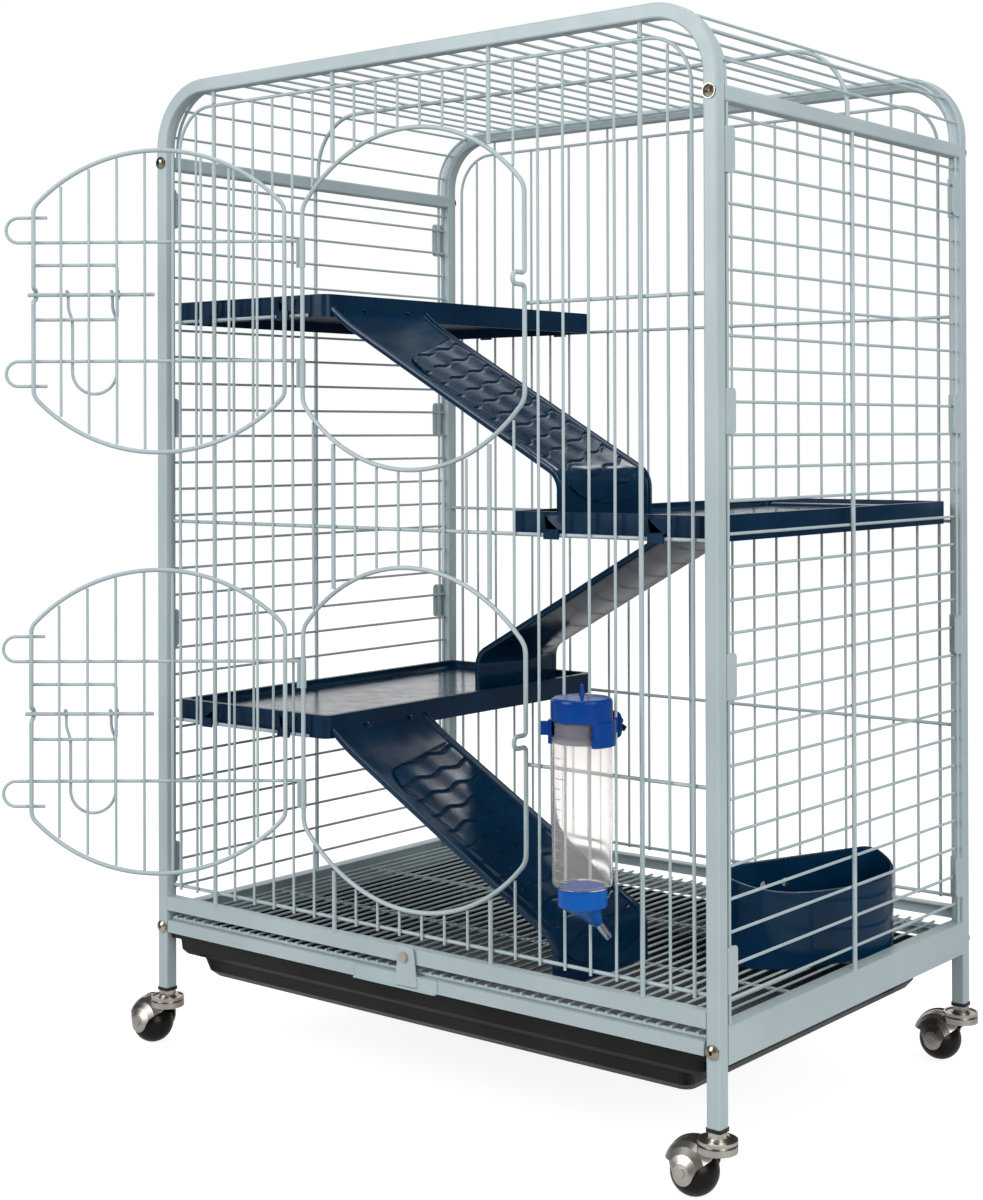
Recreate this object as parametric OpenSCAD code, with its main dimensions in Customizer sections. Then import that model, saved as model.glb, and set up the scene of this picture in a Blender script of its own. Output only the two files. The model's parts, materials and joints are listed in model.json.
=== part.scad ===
// Tall small-animal cage on ball casters: two bent tube arches, wire panels,
// three plastic shelves with ramps, two wire doors, a slide-out floor grid and tray.
// Millimetres. Origin on the floor, midway between the four legs.
// +X is the right side, -Y the front with the doors, +Z up.

/* [Frame] */
// Width over the outer leg faces
cage_w = 640; // [620:5:720]
// Depth over the outer leg faces
cage_d = 435; // [420:5:500]
// Floor to the lower ends of the legs, taken up by the casters
leg_lift = 57; // [54:0.5:62]
// Leg ends to the top of the arches
frame_h = 872; // [860:2:920]
// Side of the square frame tube
tube = 12.7; // [12:0.1:16]
// Wall of the square frame tube
tube_wall = 1.2; // [0.8:0.1:1.6]
// Outer radius of the bends at the tops of the arches
bend_r = 62; // [50:1:80]
// Centre line of the top side rails below the top of the arches
top_rail_drop = 75.5; // [70:0.5:90]
// Shank radius of the frame bolts
bolt_r = 2.5; // [2:0.1:3]
// Head radius of the frame bolts
bolt_head_r = 5.8; // [4.6:0.1:6.2]

/* [Base rails] */
// Lower edge of the bottom side rails above the floor
side_rail_z = 104; // [101:0.5:105]
// Height of the bottom side rails
side_rail_h = 29.5; // [28:0.5:34]
// Thickness of the folded sheet rails
sheet = 1.2; // [0.8:0.1:1.6]
// Lower edge of the fixed cross rails above the floor
cross_rail_z = 132.5; // [129:0.5:135]
// Height of the fixed cross rails
cross_rail_h = 13; // [10:0.5:16]

/* [Wire panels] */
// Radius of the thin panel wires
thin_r = 1.25; // [1:0.05:1.4]
// Radius of the horizontal panel wires
level_r = 1.6; // [1.3:0.05:1.8]
// Radius of the thick wires: door openings and stiffeners
thick_r = 2; // [1.8:0.05:2.2]
// Spacing of the panel wires
pitch = 25.8; // [25:0.1:27]
// Spacing of the side panels' level wires
side_pitch = 25.75; // [24:0.05:26]
// Side of the panels' rounded border from the leg
border_gap = 13.8; // [12:0.1:16]
// Height of the lowest horizontal wire
base_wire_z = 156; // [153:0.5:161]
// Height of the horizontal wire that carries the lower shelf
lower_wire_z = 316; // [310:1:320]
// Height of the horizontal wire that carries the middle shelf
middle_wire_z = 507; // [503:1:511]
// Height of the horizontal wire that carries the top shelf
top_wire_z = 699; // [695:1:703]

/* [Doors] */
// Half width of a door opening, to the wire's centre
opening_a = 128.5; // [120:0.5:135]
// Half height of a door opening, to the wire's centre
opening_b = 149; // [145:0.5:152]
// Radius of the opening's top and bottom arcs
opening_arc_r = 168; // [160:1:200]
// Radius of the opening's corners
opening_corner_r = 18; // [14:1:24]
// Height of the upper opening's centre
upper_door_z = 708; // [705:0.5:710]
// Height of the lower opening's centre
lower_door_z = 325; // [323:0.5:329]
// Gap at the sides between door and opening, centre to centre
door_inset = 13; // [11:0.5:15]
// Half height of a door, to the wire's centre
door_b = 138; // [134:0.5:139]
// How far a door's middle stands above the opening's
door_lift = 4.4; // [2:0.1:5]
// How far the upper door stands open from shut, in degrees
upper_open = 143.7; // [130:0.1:145]
// How far the lower door stands open from shut, in degrees
lower_open = 141.5; // [130:0.1:145]
// Distance of the door's cross wires from its centre
door_level = 54.5; // [50:0.5:60]
// Radius of the turned ends of the door's cross wires
loop_r = 11.4; // [10:0.1:13]
// Height of the latch rod above the opening's centre
latch_z = 11; // [6:0.5:14]
// Radius of the latch rod
latch_r = 1.75; // [1.5:0.05:2]
// Depth of the bent keeper that the latch rod enters
keeper_depth = 16; // [12:0.5:18]
// Length of the latch handle below the rod
bail_drop = 91; // [80:1:95]

/* [Shelves and ramps] */
// Width of a shelf, side to side
shelf_w = 199; // [190:1:205]
// Gap between a shelf's ends and the level wires
shelf_gap = 1.9; // [1.5:0.1:4]
// Height of a shelf's rim
shelf_h = 21; // [19:0.5:26]
// Depth of the shelf's recessed floor below the rim
shelf_recess = 8; // [6:0.5:10]
// Rim top above the wire that carries the shelf
shelf_above_wire = 19; // [17:0.5:20]
// Wall of the shelves and ramps
plastic = 3; // [2.4:0.1:4]
// Width of a ramp
ramp_w = 109; // [100:1:130]
// Length of a ramp in plan
ramp_run = 256; // [250:1:262]
// Height of a ramp's side walls, measured upright
ramp_wall = 14; // [11:0.5:18]
// Slope of the upper two ramps, rise over run
ramp_slope = 0.56; // [0.54:0.01:0.58]

/* [Floor grid and tray] */
// Spacing of the floor grid's wires
grid_pitch = 12.4; // [11:0.1:14]
// Radius of the floor grid's wires
grid_r = 1.1; // [0.9:0.05:1.3]
// Radius of the floor grid's cross wires
grid_cross_r = 1.6; // [1.4:0.05:1.8]
// Height of the floor grid's frame bars
grid_bar_h = 11.3; // [10:0.1:12]
// Depth of the tray, rim to bottom
tray_h = 41; // [36:0.5:44]
// Height of the tray's upper, wider part
tray_step_h = 20; // [16:0.5:24]
// Height of the tray's rolled rim
tray_rim = 5.5; // [3:0.1:6]
// Wall of the tray
tray_wall = 2; // [1.6:0.1:2.6]

/* [Bowl and bottle] */
// Length of the food bowl along its straight back
bowl_w = 182; // [172:1:190]
// Depth of the food bowl from its back to the front
bowl_d = 66; // [58:1:72]
// Height of the bowl's back
bowl_back_h = 81; // [74:1:90]
// Height of the bowl's front
bowl_front_h = 64; // [54:1:72]
// Wall of the food bowl
bowl_wall = 3; // [2.5:0.1:4]
// Radius of the water bottle
bottle_r = 24; // [22:0.5:25]
// Length of the water bottle's clear body
bottle_h = 119; // [110:1:130]
// Wall of the water bottle
bottle_wall = 1.5; // [1.2:0.1:2]
// Radius of the water bottle's neck
neck_r = 22; // [20:0.5:22.5]
// Length of the drinking spout
spout_l = 26.7; // [24:0.1:32]
// Radius of the drinking spout
spout_r = 3.2; // [3:0.1:4]

/* [Casters] */
// Radius of the ball wheels
ball_r = 19.4; // [18.6:0.1:19.8]
// Distance from the swivel's axis to the ball's centre
trail = 20.8; // [20.2:0.2:24]
// Tilt of the wheel's axle, front end up, in degrees
axle_tilt = 9.5; // [5:0.5:14]
// Radius of the wheel's axle
axle_r = 2.5; // [2:0.1:3]

/* [Hidden] */
$fn = 24;

paint = [0.72, 0.78, 0.79];
navy = [0.05, 0.10, 0.19];
black = [0.08, 0.08, 0.08];
blue = [0.06, 0.16, 0.60];
steel = [0.75, 0.75, 0.76];

// clearances: welded wires almost touch, seated pieces touch, moving ones stay apart
weld_gap = 0.02;
seat_gap = 0.3;
run_gap = 0.06;

half_w = cage_w / 2;
half_d = cage_d / 2;
leg_x = half_w - tube / 2;
leg_y = half_d - tube / 2;
leg_in_x = half_w - tube;
leg_in_y = half_d - tube;
arch_top = leg_lift + frame_h;
bend_z = arch_top - bend_r;
top_rail_z = arch_top - top_rail_drop;
bend_mid_r = bend_r - tube / 2;
low_bolt_z = side_rail_z + 12;
eye_r = bolt_r + 0.1;

// the front and back panels: upright wires outside the weld plane, level wires inside it
weld_y = leg_y - 1;
thick_y = weld_y + thick_r;
border_r = 1.5;
border_y = weld_y + border_r;
level_y = weld_y - weld_gap - level_r;
border_x = leg_in_x - border_gap;
border_corner_r = bend_mid_r - tube / 2 - border_gap + 6;
border_top = arch_top - tube - border_gap;
cross_top = cross_rail_z + cross_rail_h;
thick_posts = [3, 9];
posts = 11;
rail_wires = [base_wire_z, lower_wire_z, middle_wire_z, top_wire_z];

// ------------------------------------------------------------------ shapes
// corner points of a rectangle with rounded corners, centred on the origin
function rounded(w, d, r, n = 4) = [
    for (q = [0 : 3]) for (i = [0 : n])
        let (a = 90 * q + 90 * i / n,
             sx = (q == 0 || q == 3) ? 1 : -1,
             sy = q < 2 ? 1 : -1)
        [sx * (w / 2 - r) + r * cos(a), sy * (d / 2 - r) + r * sin(a)]
];

function reversed(list) = [for (i = [len(list) - 1 : -1 : 0]) list[i]];

module tube_profile(grow = 0) {
    polygon(rounded(tube + 2 * grow, tube + 2 * grow, 1.6 + grow, 2));
}

module wire_z(r, z0, z1) {
    translate([0, 0, z0]) cylinder(r = r, h = z1 - z0, $fn = 16);
}

module wire_x(r, x0, x1) {
    translate([x0, 0, 0]) rotate([0, 90, 0]) cylinder(r = r, h = x1 - x0, $fn = 16);
}

module wire_y(r, y0, y1) {
    translate([0, y0, 0]) rotate([-90, 0, 0]) cylinder(r = r, h = y1 - y0, $fn = 16);
}

// a bent wire in the XZ plane: an arc of radius bend about the origin, from a0 to a1 degrees,
// a hair short at both ends so that each bend stays a piece of its own
module wire_arc(r, bend, a0, a1) {
    trim = weld_gap / bend * 40;
    rotate([90, 0, 0]) rotate([0, 0, a0 + trim])
        rotate_extrude(angle = a1 - a0 - 2 * trim, $fn = 64) translate([bend, 0]) circle(r, $fn = 16);
}

// the same in the YZ plane, measured from +Y towards +Z
module wire_arc_y(r, bend, a0, a1) {
    rotate([0, 0, 90]) wire_arc(r, bend, a0, a1);
}

// a U bent towards +Y in a wire that runs along Z, centred on the origin
module staple(r, depth, u, elbow) {
    for (m = [0, 1]) mirror([0, 0, m]) {
        translate([0, elbow, u + elbow]) wire_arc_y(r, elbow, 180, 270);
        if (depth > u + elbow) translate([0, 0, u]) wire_y(r, elbow, depth - u);
    }
    translate([0, depth - u, 0]) wire_arc_y(r, u, -90, 90);
}

// the outline of a door opening or of a door: flat sides, arched top and bottom
function arch_top_at(x, b, big) = b - big + sqrt(big * big - x * x);

module arched_ring(a, b, big, small, r, mid, half_gap) {
    xf = a - small;
    zf = b - big + sqrt(pow(big - small, 2) - xf * xf);
    turn = atan2(zf - b + big, xf);
    for (m = [0, 1]) mirror([0, 0, m]) {
        translate([0, 0, b - big]) wire_arc(r, big, turn, 180 - turn);
        translate([xf, 0, zf]) wire_arc(r, small, 0, turn);
        translate([-xf, 0, zf]) wire_arc(r, small, 180 - turn, 180);
    }
    translate([-a, 0, 0]) wire_z(r, -zf, zf);
    translate([a, 0, 0]) wire_z(r, mid + half_gap, zf);
    translate([a, 0, 0]) wire_z(r, -zf, mid - half_gap);
}

// ------------------------------------------------------------------ tube frame
module arch_sweep(grow) {
    for (s = [-1, 1]) {
        translate([s * leg_x, 0, leg_lift - (grow < 0 ? 1 : 0)])
            linear_extrude(bend_z - leg_lift + (grow < 0 ? 1 : 0)) tube_profile(grow);
        translate([s * (half_w - bend_r), 0, bend_z]) rotate([90, 0, 0])
            rotate([0, 0, s > 0 ? 0 : 90]) rotate_extrude(angle = 90, $fn = 64)
            translate([bend_mid_r, 0]) tube_profile(grow);
    }
    translate([bend_r - half_w, 0, arch_top - tube / 2]) rotate([0, 90, 0])
        linear_extrude(cage_w - 2 * bend_r) tube_profile(grow);
}

module arch(side) {
    color(paint) translate([0, side * leg_y, 0]) difference() {
        arch_sweep(0);
        arch_sweep(-tube_wall);
        for (s = [-1, 1]) for (z = [low_bolt_z, top_rail_z])
            translate([s * leg_x, 0, z]) wire_y(eye_r, -tube, tube);
    }
}

module front_arch() { arch(-1); }
module rear_arch() { arch(1); }

// a square tube between the arches, closed by end plates that take the bolts
module top_rail(side) {
    length = 2 * leg_in_y;
    color(paint) translate([side * leg_x, 0, top_rail_z]) difference() {
        rotate([90, 0, 0]) linear_extrude(length, center = true) tube_profile();
        rotate([90, 0, 0]) linear_extrude(length - 6, center = true) tube_profile(-tube_wall);
        for (e = [-1, 1]) translate([0, e * leg_in_y, 0]) wire_y(bolt_r, -4, 4);
    }
}

module top_rail_left() { top_rail(-1); }
module top_rail_right() { top_rail(1); }

// a folded channel: an upright web with flanges turned inwards, and a plate at each end
module bottom_rail(side) {
    length = 2 * leg_in_y;
    flange = 17;
    color(paint) mirror([side > 0 ? 0 : 1, 0, 0]) translate([0, -leg_in_y, 0]) difference() {
        union() {
            translate([half_w - sheet, 0, side_rail_z]) cube([sheet, length, side_rail_h]);
            translate([leg_in_x, 0, side_rail_z + side_rail_h - sheet]) cube([tube, length, sheet]);
            translate([half_w - flange, 0, side_rail_z]) cube([flange, length, sheet]);
            for (e = [0, 1]) translate([leg_in_x, e * (length - 2 * sheet), side_rail_z])
                cube([tube, 2 * sheet, side_rail_h]);
        }
        for (e = [0, 1]) translate([leg_x, e * length, low_bolt_z]) wire_y(bolt_r, -4, 4);
    }
}

module bottom_rail_left() { bottom_rail(-1); }
module bottom_rail_right() { bottom_rail(1); }

// an angle between the legs, with its flange turned inwards at the top
module cross_rail(side) {
    color(paint) mirror([0, side > 0 ? 0 : 1, 0]) difference() {
        union() {
            translate([-leg_in_x, half_d - sheet, cross_rail_z])
                cube([2 * leg_in_x, sheet, cross_rail_h]);
            translate([-leg_in_x, half_d - 10, cross_top - sheet])
                cube([2 * leg_in_x, 10, sheet]);
        }
        if (side < 0) translate([lock_x, half_d, lock_z]) wire_y(lock_hole_r, -5, 5);
    }
}

module front_cross_rail() { cross_rail(-1); }
module rear_cross_rail() { cross_rail(1); }

// button-head socket bolts, heads on the outer faces, shanks into the rails' end plates
module frame_bolts() {
    color(steel) for (side = [-1, 1]) for (s = [-1, 1]) for (z = [low_bolt_z, top_rail_z])
        translate([s * leg_x, side * half_d, z]) rotate([side * -90, 0, 0]) difference() {
            union() {
                cylinder(r = bolt_head_r, h = 1.6);
                translate([0, 0, 1.6]) intersection() {
                    cylinder(r = bolt_head_r, h = 2.4);
                    translate([0, 0, -5.6]) sphere(r = 7.8, $fn = 48);
                }
                translate([0, 0, -tube - 2]) cylinder(r = bolt_r, h = tube + 2);
            }
            translate([0, 0, 0.8]) cylinder(r = 2.1, h = 5, $fn = 6);
        }
}

// ------------------------------------------------------------------ leg ends
plug_flange = 3;
stem_r = 4;

module at_legs() {
    for (sx = [-1, 1]) for (sy = [-1, 1])
        translate([sx * leg_x, sy * leg_y, 0]) children();
}

module leg_plugs() {
    inner = tube - 2 * tube_wall - 0.1;
    color(black) at_legs() difference() {
        union() {
            translate([0, 0, leg_lift - plug_flange])
                linear_extrude(plug_flange) polygon(rounded(tube + 1.6, tube + 1.6, 2.2, 2));
            translate([0, 0, leg_lift]) linear_extrude(14) polygon(rounded(inner, inner, 0.8, 2));
        }
        translate([0, 0, leg_lift - 10]) cylinder(r = stem_r, h = 30);
    }
}

// chrome stem with its nut and the fixed upper bearing cup
cup_top = leg_lift - plug_flange;
cup_r = 15.8;
swivel_z = cup_top - 8.4;

module caster_stems() {
    lip = 1.5;
    color(steel) at_legs() difference() {
        union() {
            translate([0, 0, swivel_z - 6]) cylinder(r = stem_r, h = leg_lift + 12 - swivel_z + 6);
            translate([0, 0, cup_top - 4.4]) cylinder(r = 8, h = 4.4, $fn = 6);
            translate([0, 0, cup_top - 6.8]) cylinder(r1 = 8.8, r2 = 7, h = 2.4);
            translate([0, 0, swivel_z]) cylinder(r = cup_r, h = 2.6);
            translate([0, 0, swivel_z - 6]) cylinder(r = 6, h = 1.6);
        }
        translate([0, 0, swivel_z + 1.6]) difference() {
            cylinder(r = cup_r - lip, h = 2);
            translate([0, 0, -1]) cylinder(r = 8.8, h = 4);
        }
    }
}

// ------------------------------------------------------------------ front and back panels
// these modules have the outside of the cage towards +Y; only the front has thick uprights
keeper_u = 5;
elbow_r = 3.5;
border_mid_x = border_x - border_corner_r;
border_mid_z = border_top - border_corner_r;

// highest point an upright wire may reach below the border wire
function under_border(x) = border_mid_z + (x < border_mid_x ? border_corner_r - border_r - weld_gap
    : sqrt(pow(border_corner_r - border_r - weld_gap, 2) - pow(x - border_mid_x, 2)));

// height above the middle of an opening at which an upright wire clears the opening's wire
function over_opening(x) = weld_gap
    + arch_top_at(x, opening_b + thick_r, opening_arc_r + thick_r);

module posts_at(x, r, low, high, doors) {
    over = over_opening(x - r);
    cuts = doors && x < opening_a
        ? [[low, lower_door_z - over], [lower_door_z + over, upper_door_z - over],
           [upper_door_z + over, high]]
        : [[low, high]];
    for (s = [-1, 1]) for (c = cuts) translate([s * x, weld_y + r, 0]) wire_z(r, c[0], c[1]);
}

module border() {
    low = base_wire_z - level_r - 1.5;
    for (s = [-1, 1]) {
        translate([s * border_x, border_y, 0]) wire_z(border_r, low, border_mid_z);
        translate([s * border_mid_x, border_y, border_mid_z])
            wire_arc(border_r, border_corner_r, s > 0 ? 0 : 90, s > 0 ? 90 : 180);
    }
    translate([0, border_y, border_top]) wire_x(border_r, -border_mid_x, border_mid_x);
}

module panel(doors) {
    border();
    for (k = [0 : posts - 1]) {
        x = (k + 0.5) * pitch;
        if (k == thick_posts[0] || k == thick_posts[1]) {
            r = doors ? thick_r : thin_r;
            posts_at(x, r, cross_top, under_border(x + r), doors);
            for (s = [-1, 1]) translate([s * x, weld_y + r, 0])
                wire_z(r, border_top + border_r + weld_gap, arch_top - tube);
        } else
            posts_at(x, thin_r, base_wire_z - level_r - 1.5, under_border(x + thin_r), doors);
    }
    for (z = rail_wires) {
        near = doors && (abs(z - upper_door_z) < opening_b || abs(z - lower_door_z) < opening_b);
        if (near) for (s = [0, 1]) mirror([s, 0, 0]) translate([0, level_y, z])
            wire_x(level_r, opening_a - 2.5, leg_in_x);
        else translate([0, level_y, z]) wire_x(level_r, -leg_in_x, leg_in_x);
    }
}

module front_panel() { color(paint) mirror([0, 1, 0]) panel(true); }
module back_panel() { color(paint) panel(false); }

// the two arched wires round the doorways, each with a keeper bent outwards for the latch
module door_frames() {
    reach = keeper_u + elbow_r;
    color(paint) for (z = [upper_door_z, lower_door_z]) translate([0, -thick_y, z]) {
        arched_ring(opening_a, opening_b, opening_arc_r, opening_corner_r, thick_r, latch_z, reach);
        translate([opening_a, 0, latch_z]) mirror([0, 1, 0])
            staple(thick_r, keeper_depth, keeper_u, elbow_r);
    }
}

// ------------------------------------------------------------------ side panels
side_level_x = half_w - 5.57;
side_post_x = side_level_x + thin_r + weld_gap + border_r;
side_stiff_x = side_level_x + thin_r + weld_gap + thick_r;
side_post_y = leg_in_y - 5.8;
rail_top = side_rail_z + side_rail_h;
rail_under = top_rail_z - tube / 2;
side_low_z = rail_top + 17.8;
side_edge_z = rail_under - 10;
side_count = 27;

module side_panel(side) {
    color(paint) mirror([side > 0 ? 0 : 1, 0, 0]) {
        for (e = [-1, 1]) translate([side_post_x, e * side_post_y, 0])
            wire_z(border_r, rail_top, rail_under);
        translate([side_stiff_x, 0, 0]) wire_z(thick_r, rail_top, rail_under);
        for (z = [for (k = [0 : side_count - 1]) side_low_z + k * side_pitch, side_edge_z])
            translate([side_level_x, 0, z]) wire_y(thin_r, -leg_in_y + 1.8, leg_in_y - 1.8);
    }
}

module left_panel() { side_panel(-1); }
module right_panel() { side_panel(1); }

// folded clips that hold the side panels' edge wires to the legs
clip_h = 36;
clip_z = [176, 402, 607.5, 810];

module panel_clips() {
    gauge = 1;
    corner = 4;
    low_x = side_level_x + thin_r + 0.2;
    out_x = half_w - gauge - 0.2;
    hook_y = side_post_y - border_r - 7;
    color(paint) for (sx = [0, 1]) mirror([sx, 0, 0]) for (sy = [0, 1]) mirror([0, sy, 0])
        for (z = clip_z) translate([0, 0, z - clip_h / 2]) union() {
            translate([out_x, 0, 0]) rotate([90, 0, 90]) linear_extrude(gauge) polygon([
                [leg_in_y, 0], [leg_in_y, clip_h],
                for (i = [0 : 4]) [hook_y + corner - corner * sin(i * 22.5),
                    clip_h - corner + corner * cos(i * 22.5)],
                for (i = [0 : 4]) [hook_y + corner - corner * cos(i * 22.5),
                    corner - corner * sin(i * 22.5)]]);
            translate([low_x, side_post_y - border_r - 1.2, 0])
                cube([out_x - low_x, gauge, clip_h]);
            translate([leg_in_x, leg_in_y - gauge, 0])
                cube([out_x - leg_in_x, gauge, clip_h]);
        }
}

// ------------------------------------------------------------------ roof
hoop_out = bend_mid_r + thick_r;
roof_wire_r = hoop_out + weld_gap + thin_r;
roof_x0 = half_w - bend_r;

module hoop(y, r) {
    mid = hoop_out - r;
    translate([0, y, 0]) {
        for (s = [-1, 1]) {
            translate([s * (roof_x0 + mid), 0, 0]) wire_z(r, top_rail_z + tube / 2, bend_z);
            translate([s * roof_x0, 0, bend_z]) wire_arc(r, mid, s > 0 ? 0 : 90, s > 0 ? 90 : 180);
        }
        translate([0, 0, bend_z + mid]) wire_x(r, -roof_x0, roof_x0);
    }
}

module roof_hoops() {
    color(paint) {
        hoop(0, thick_r);
        for (s = [-1, 1]) hoop(s * (leg_in_y - 9), border_r);
    }
}

module roof_panel() {
    color(paint) for (s = [-1, 1]) {
        for (k = [0 : thick_posts[1]]) translate([s * (k + 0.5) * pitch, 0, bend_z + roof_wire_r])
            wire_y(thin_r, -leg_in_y, leg_in_y);
        for (a = [13, 40, 67]) translate([s * (roof_x0 + roof_wire_r * cos(a)), 0,
            bend_z + roof_wire_r * sin(a)]) wire_y(thin_r, -leg_in_y, leg_in_y);
    }
}

// ------------------------------------------------------------------ doors
// in a door's own frame the hinge wire is the Z axis, the door runs along +X when it is
// shut and the outside of the cage is -Y
door_s = opening_a + 3.6;
door_a = opening_a - door_inset;
door_arc_r = opening_arc_r - door_inset;
door_corner_r = opening_corner_r - 4;
clip_sheet = 0.7;
eye = thick_r + run_gap;
ring_y = -0.75;
door_post_y = ring_y - thick_r + thin_r;
door_wire_r = 1.5;
door_wire_y = -eye - clip_sheet - weld_gap - door_wire_r;
ring_right = door_s + door_a;
shut_s = 2 * opening_a;
bail_r = 1.4;
rod_y = door_wire_y - 1.52;
rod_z = latch_z - door_lift;
ring_depth = latch_r + thick_r + 0.45 + ring_y - rod_y;
rod_end = shut_s - 3;
guide_s = ring_right - 76.4;
guide_up = 27;
guide_down = 23;
guide_u = latch_r + 0.35 + door_wire_r;
guide_elbow = 2.9;
latch_travel = 23.5;
hook_r = latch_r + 0.08 + bail_r;
hook_a = ring_right - 70.9;
hook_b = ring_right - 29.9;
door_posts = 4;

module upper_pose() {
    translate([-opening_a, -thick_y, upper_door_z + door_lift]) rotate([0, 0, -upper_open]) children();
}

module lower_pose() {
    translate([-opening_a, -thick_y, lower_door_z + door_lift]) rotate([0, 0, -lower_open]) children();
}

module door_wires() {
    reach = keeper_u + elbow_r;
    // the ring, bent outwards over the latch rod
    translate([door_s, ring_y, 0]) {
        arched_ring(door_a, door_b, door_arc_r, door_corner_r, thick_r, rod_z, reach);
        translate([door_a, 0, rod_z]) mirror([0, 1, 0])
            staple(thick_r, ring_depth, keeper_u, elbow_r);
    }
    // upright wires, ending at the ring
    for (s = [-1, 1]) for (k = [0 : door_posts - 1]) {
        x = (k + 0.5) * pitch;
        top = arch_top_at(x + thin_r, door_b - thick_r, door_arc_r - thick_r) - weld_gap;
        translate([door_s + s * x, door_post_y, 0]) wire_z(thin_r, -top, top);
    }
    // cross wires, welded to the hinge clips and turned back at the latch side
    turn_s = shut_s + 5.5;
    turn_back = 26.5;
    for (m = [0, 1]) mirror([0, 0, m]) {
        translate([0, door_wire_y, door_level]) wire_x(door_wire_r, 4.5, turn_s);
        translate([turn_s, door_wire_y, door_level + loop_r]) wire_arc(door_wire_r, loop_r, -90, 90);
        translate([0, door_wire_y, door_level + 2 * loop_r]) wire_x(door_wire_r, turn_s - turn_back, turn_s);
    }
    // the guide that carries the inner end of the latch rod
    bend = 4;
    up = rod_z + guide_up;
    down = rod_z - guide_down;
    translate([0, door_wire_y, up]) wire_x(door_wire_r, guide_s + bend, ring_right + 2.2);
    translate([0, door_wire_y, down]) wire_x(door_wire_r, guide_s + bend, ring_right + 2.2);
    translate([guide_s + bend, door_wire_y, up - bend]) wire_arc(door_wire_r, bend, 90, 180);
    translate([guide_s + bend, door_wire_y, down + bend]) wire_arc(door_wire_r, bend, 180, 270);
    translate([guide_s, door_wire_y, 0]) {
        wire_z(door_wire_r, rod_z + guide_u + guide_elbow, up - bend);
        wire_z(door_wire_r, down + bend, rod_z - guide_u - guide_elbow);
    }
    translate([guide_s, door_wire_y, rod_z]) mirror([0, 1, 0])
        staple(door_wire_r, guide_u + guide_elbow, guide_u, guide_elbow);
}

// sheet clips curled round the opening's wire, one under each cross wire
module hinge_clips() {
    clip_len = 26;
    for (z = [door_level, -door_level]) translate([0, 0, z + 1.5 - clip_len]) difference() {
        union() {
            cylinder(r = eye + clip_sheet, h = clip_len);
            translate([0, -eye - clip_sheet, 0]) cube([6, clip_sheet, clip_len]);
        }
        translate([0, 0, -1]) cylinder(r = eye, h = clip_len + 2);
    }
}

// a straight rod with two pinched spots that keep the handle in place
module latch_rod() {
    translate([0, rod_y, rod_z]) union() {
        wire_x(latch_r, ring_right - 110.4, rod_end);
        for (s = [hook_a - 2.7, hook_b + 3.1]) translate([s - 1.1, -1.95, -0.8])
            cube([2.2, 3.9, 1.6]);
    }
}

// a wire handle that hangs on the rod from two open hooks
module latch_handle() {
    jog = 4;
    drop = 20;
    low = 8;
    ease = atan2(jog, drop) * 2;
    jog_r = drop / (2 * sin(ease));
    span = hook_b - hook_a;
    low_z = span / 2 - bail_drop;
    translate([0, rod_y, rod_z]) {
        for (s = [hook_a, hook_b]) {
            translate([s, 0, 0]) wire_arc_y(bail_r, hook_r, 62, 180);
            translate([s, -hook_r, 0]) {
                wire_z(bail_r, -low, 0);
                translate([-jog_r, 0, -low]) wire_arc(bail_r, jog_r, -ease, 0);
                translate([jog_r - jog, 0, -low - drop]) wire_arc(bail_r, jog_r, 180 - ease, 180);
                translate([-jog, 0, 0]) wire_z(bail_r, low_z, -low - drop);
            }
        }
        translate([(hook_a + hook_b) / 2 - jog, -hook_r, low_z])
            wire_arc(bail_r, span / 2, 180, 360);
    }
}

module upper_door() { color(paint) upper_pose() door_wires(); }
module upper_hinge_clips() { color(paint) upper_pose() hinge_clips(); }
module upper_latch_rod() { color(paint) upper_pose() latch_rod(); }
module upper_latch_handle() { color(paint) upper_pose() latch_handle(); }
module lower_door() { color(paint) lower_pose() door_wires(); }
module lower_hinge_clips() { color(paint) lower_pose() hinge_clips(); }
module lower_latch_rod() { color(paint) lower_pose() latch_rod(); }
module lower_latch_handle() { color(paint) lower_pose() latch_handle(); }

// ------------------------------------------------------------------ shelves
shelf_out = leg_in_x - 2.3;
shelf_d = 2 * (level_y - level_r - shelf_gap);
shelf_rim = 6;
hook_w = 15;
gusset = 1.5;
hook_x = [shelf_out - 10 * pitch, shelf_out - 6 * pitch];
slot_z = [-17, -12];
tab_y = 30;
ramp_mid = 30 + ramp_w / 2 - shelf_d / 2;

function shelf_top(wire_z) = wire_z + shelf_above_wire;

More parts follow.
